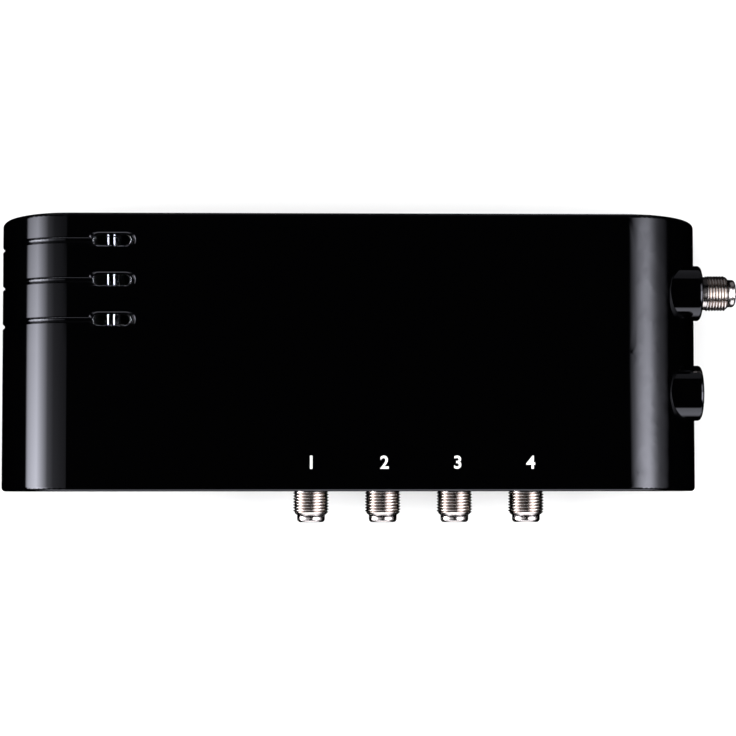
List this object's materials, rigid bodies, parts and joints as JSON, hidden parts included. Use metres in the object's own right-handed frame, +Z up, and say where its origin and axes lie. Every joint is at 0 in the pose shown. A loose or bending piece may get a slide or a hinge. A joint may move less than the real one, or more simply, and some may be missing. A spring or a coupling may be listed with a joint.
{
  "type": "tv signal amplifier",
  "caption": "Flat gloss black box with curved ends, clear pill indicator lenses, screw-on coaxial outputs along one side and an antenna port and power inlet in round end bosses.",
  "frame": {"origin": "middle of the case's footprint, on the surface that its feet stand on", "axes": "+X along the case to the end with the antenna port, -Y to the side with the four outputs, +Z up"},
  "size_m": [0.2011, 0.0823, 0.0381],
  "materials": {
    "gloss_black_shell": "high gloss black ABS",
    "clear_lens": "clear polycarbonate",
    "bright_nickel": "bright nickel plate on brass",
    "gold_contact": "gold flash",
    "white_insulator": "satin white insulator",
    "foot_rubber": "matt black rubber",
    "zinc_screw": "zinc plate",
    "board_laminate": "green solder mask",
    "black_moulding": "satin black moulding",
    "tinned_steel": "tinned sheet",
    "chip_moulding": "matt black epoxy",
    "chip_ceramic": "tan ceramic",
    "ferrite": "dark grey ferrite",
    "finned_aluminium": "extruded aluminium",
    "capacitor_sleeve": "dark blue sleeve on an aluminium can"
  },
  "bodies": {
    "root": {"top_cover": "gloss_black_shell", "base_tray": "gloss_black_shell", "rubber_feet": "foot_rubber", "case_screws": "zinc_screw", "board_screws": "zinc_screw", "main_board": "board_laminate", "power_jack_housing": "black_moulding", "power_jack_pin": "bright_nickel", "power_jack_spring": "bright_nickel", "shield_frame": "tinned_steel", "shield_lid": "tinned_steel", "amplifier_chip": "chip_moulding", "heat_sink": "finned_aluminium", "regulator": "chip_moulding", "heat_sink_screw": "zinc_screw", "storage_capacitor": "capacitor_sleeve", "output_capacitor": "capacitor_sleeve", "filter_inductor": "ferrite", "chip_capacitors": "chip_ceramic", "chip_resistors": "chip_moulding", "splitter_core_1": "ferrite", "indicator_lens_1": "clear_lens", "lamp_body_1": "clear_lens", "lamp_blades_1": "tinned_steel", "lamp_spacer_1": "black_moulding", "splitter_core_2": "ferrite", "indicator_lens_2": "clear_lens", "lamp_body_2": "clear_lens", "lamp_blades_2": "tinned_steel", "lamp_spacer_2": "black_moulding", "splitter_core_3": "ferrite", "indicator_lens_3": "clear_lens", "lamp_body_3": "clear_lens", "lamp_blades_3": "tinned_steel", "lamp_spacer_3": "black_moulding", "output_port_1_body": "bright_nickel", "output_port_1_insulator": "white_insulator", "output_port_1_contact": "gold_contact", "output_port_2_body": "bright_nickel", "output_port_2_insulator": "white_insulator", "output_port_2_contact": "gold_contact", "output_port_3_body": "bright_nickel", "output_port_3_insulator": "white_insulator", "output_port_3_contact": "gold_contact", "output_port_4_body": "bright_nickel", "output_port_4_insulator": "white_insulator", "output_port_4_contact": "gold_contact", "antenna_port_body": "bright_nickel", "antenna_port_insulator": "white_insulator", "antenna_port_contact": "gold_contact"}
  },
  "joints": []
}
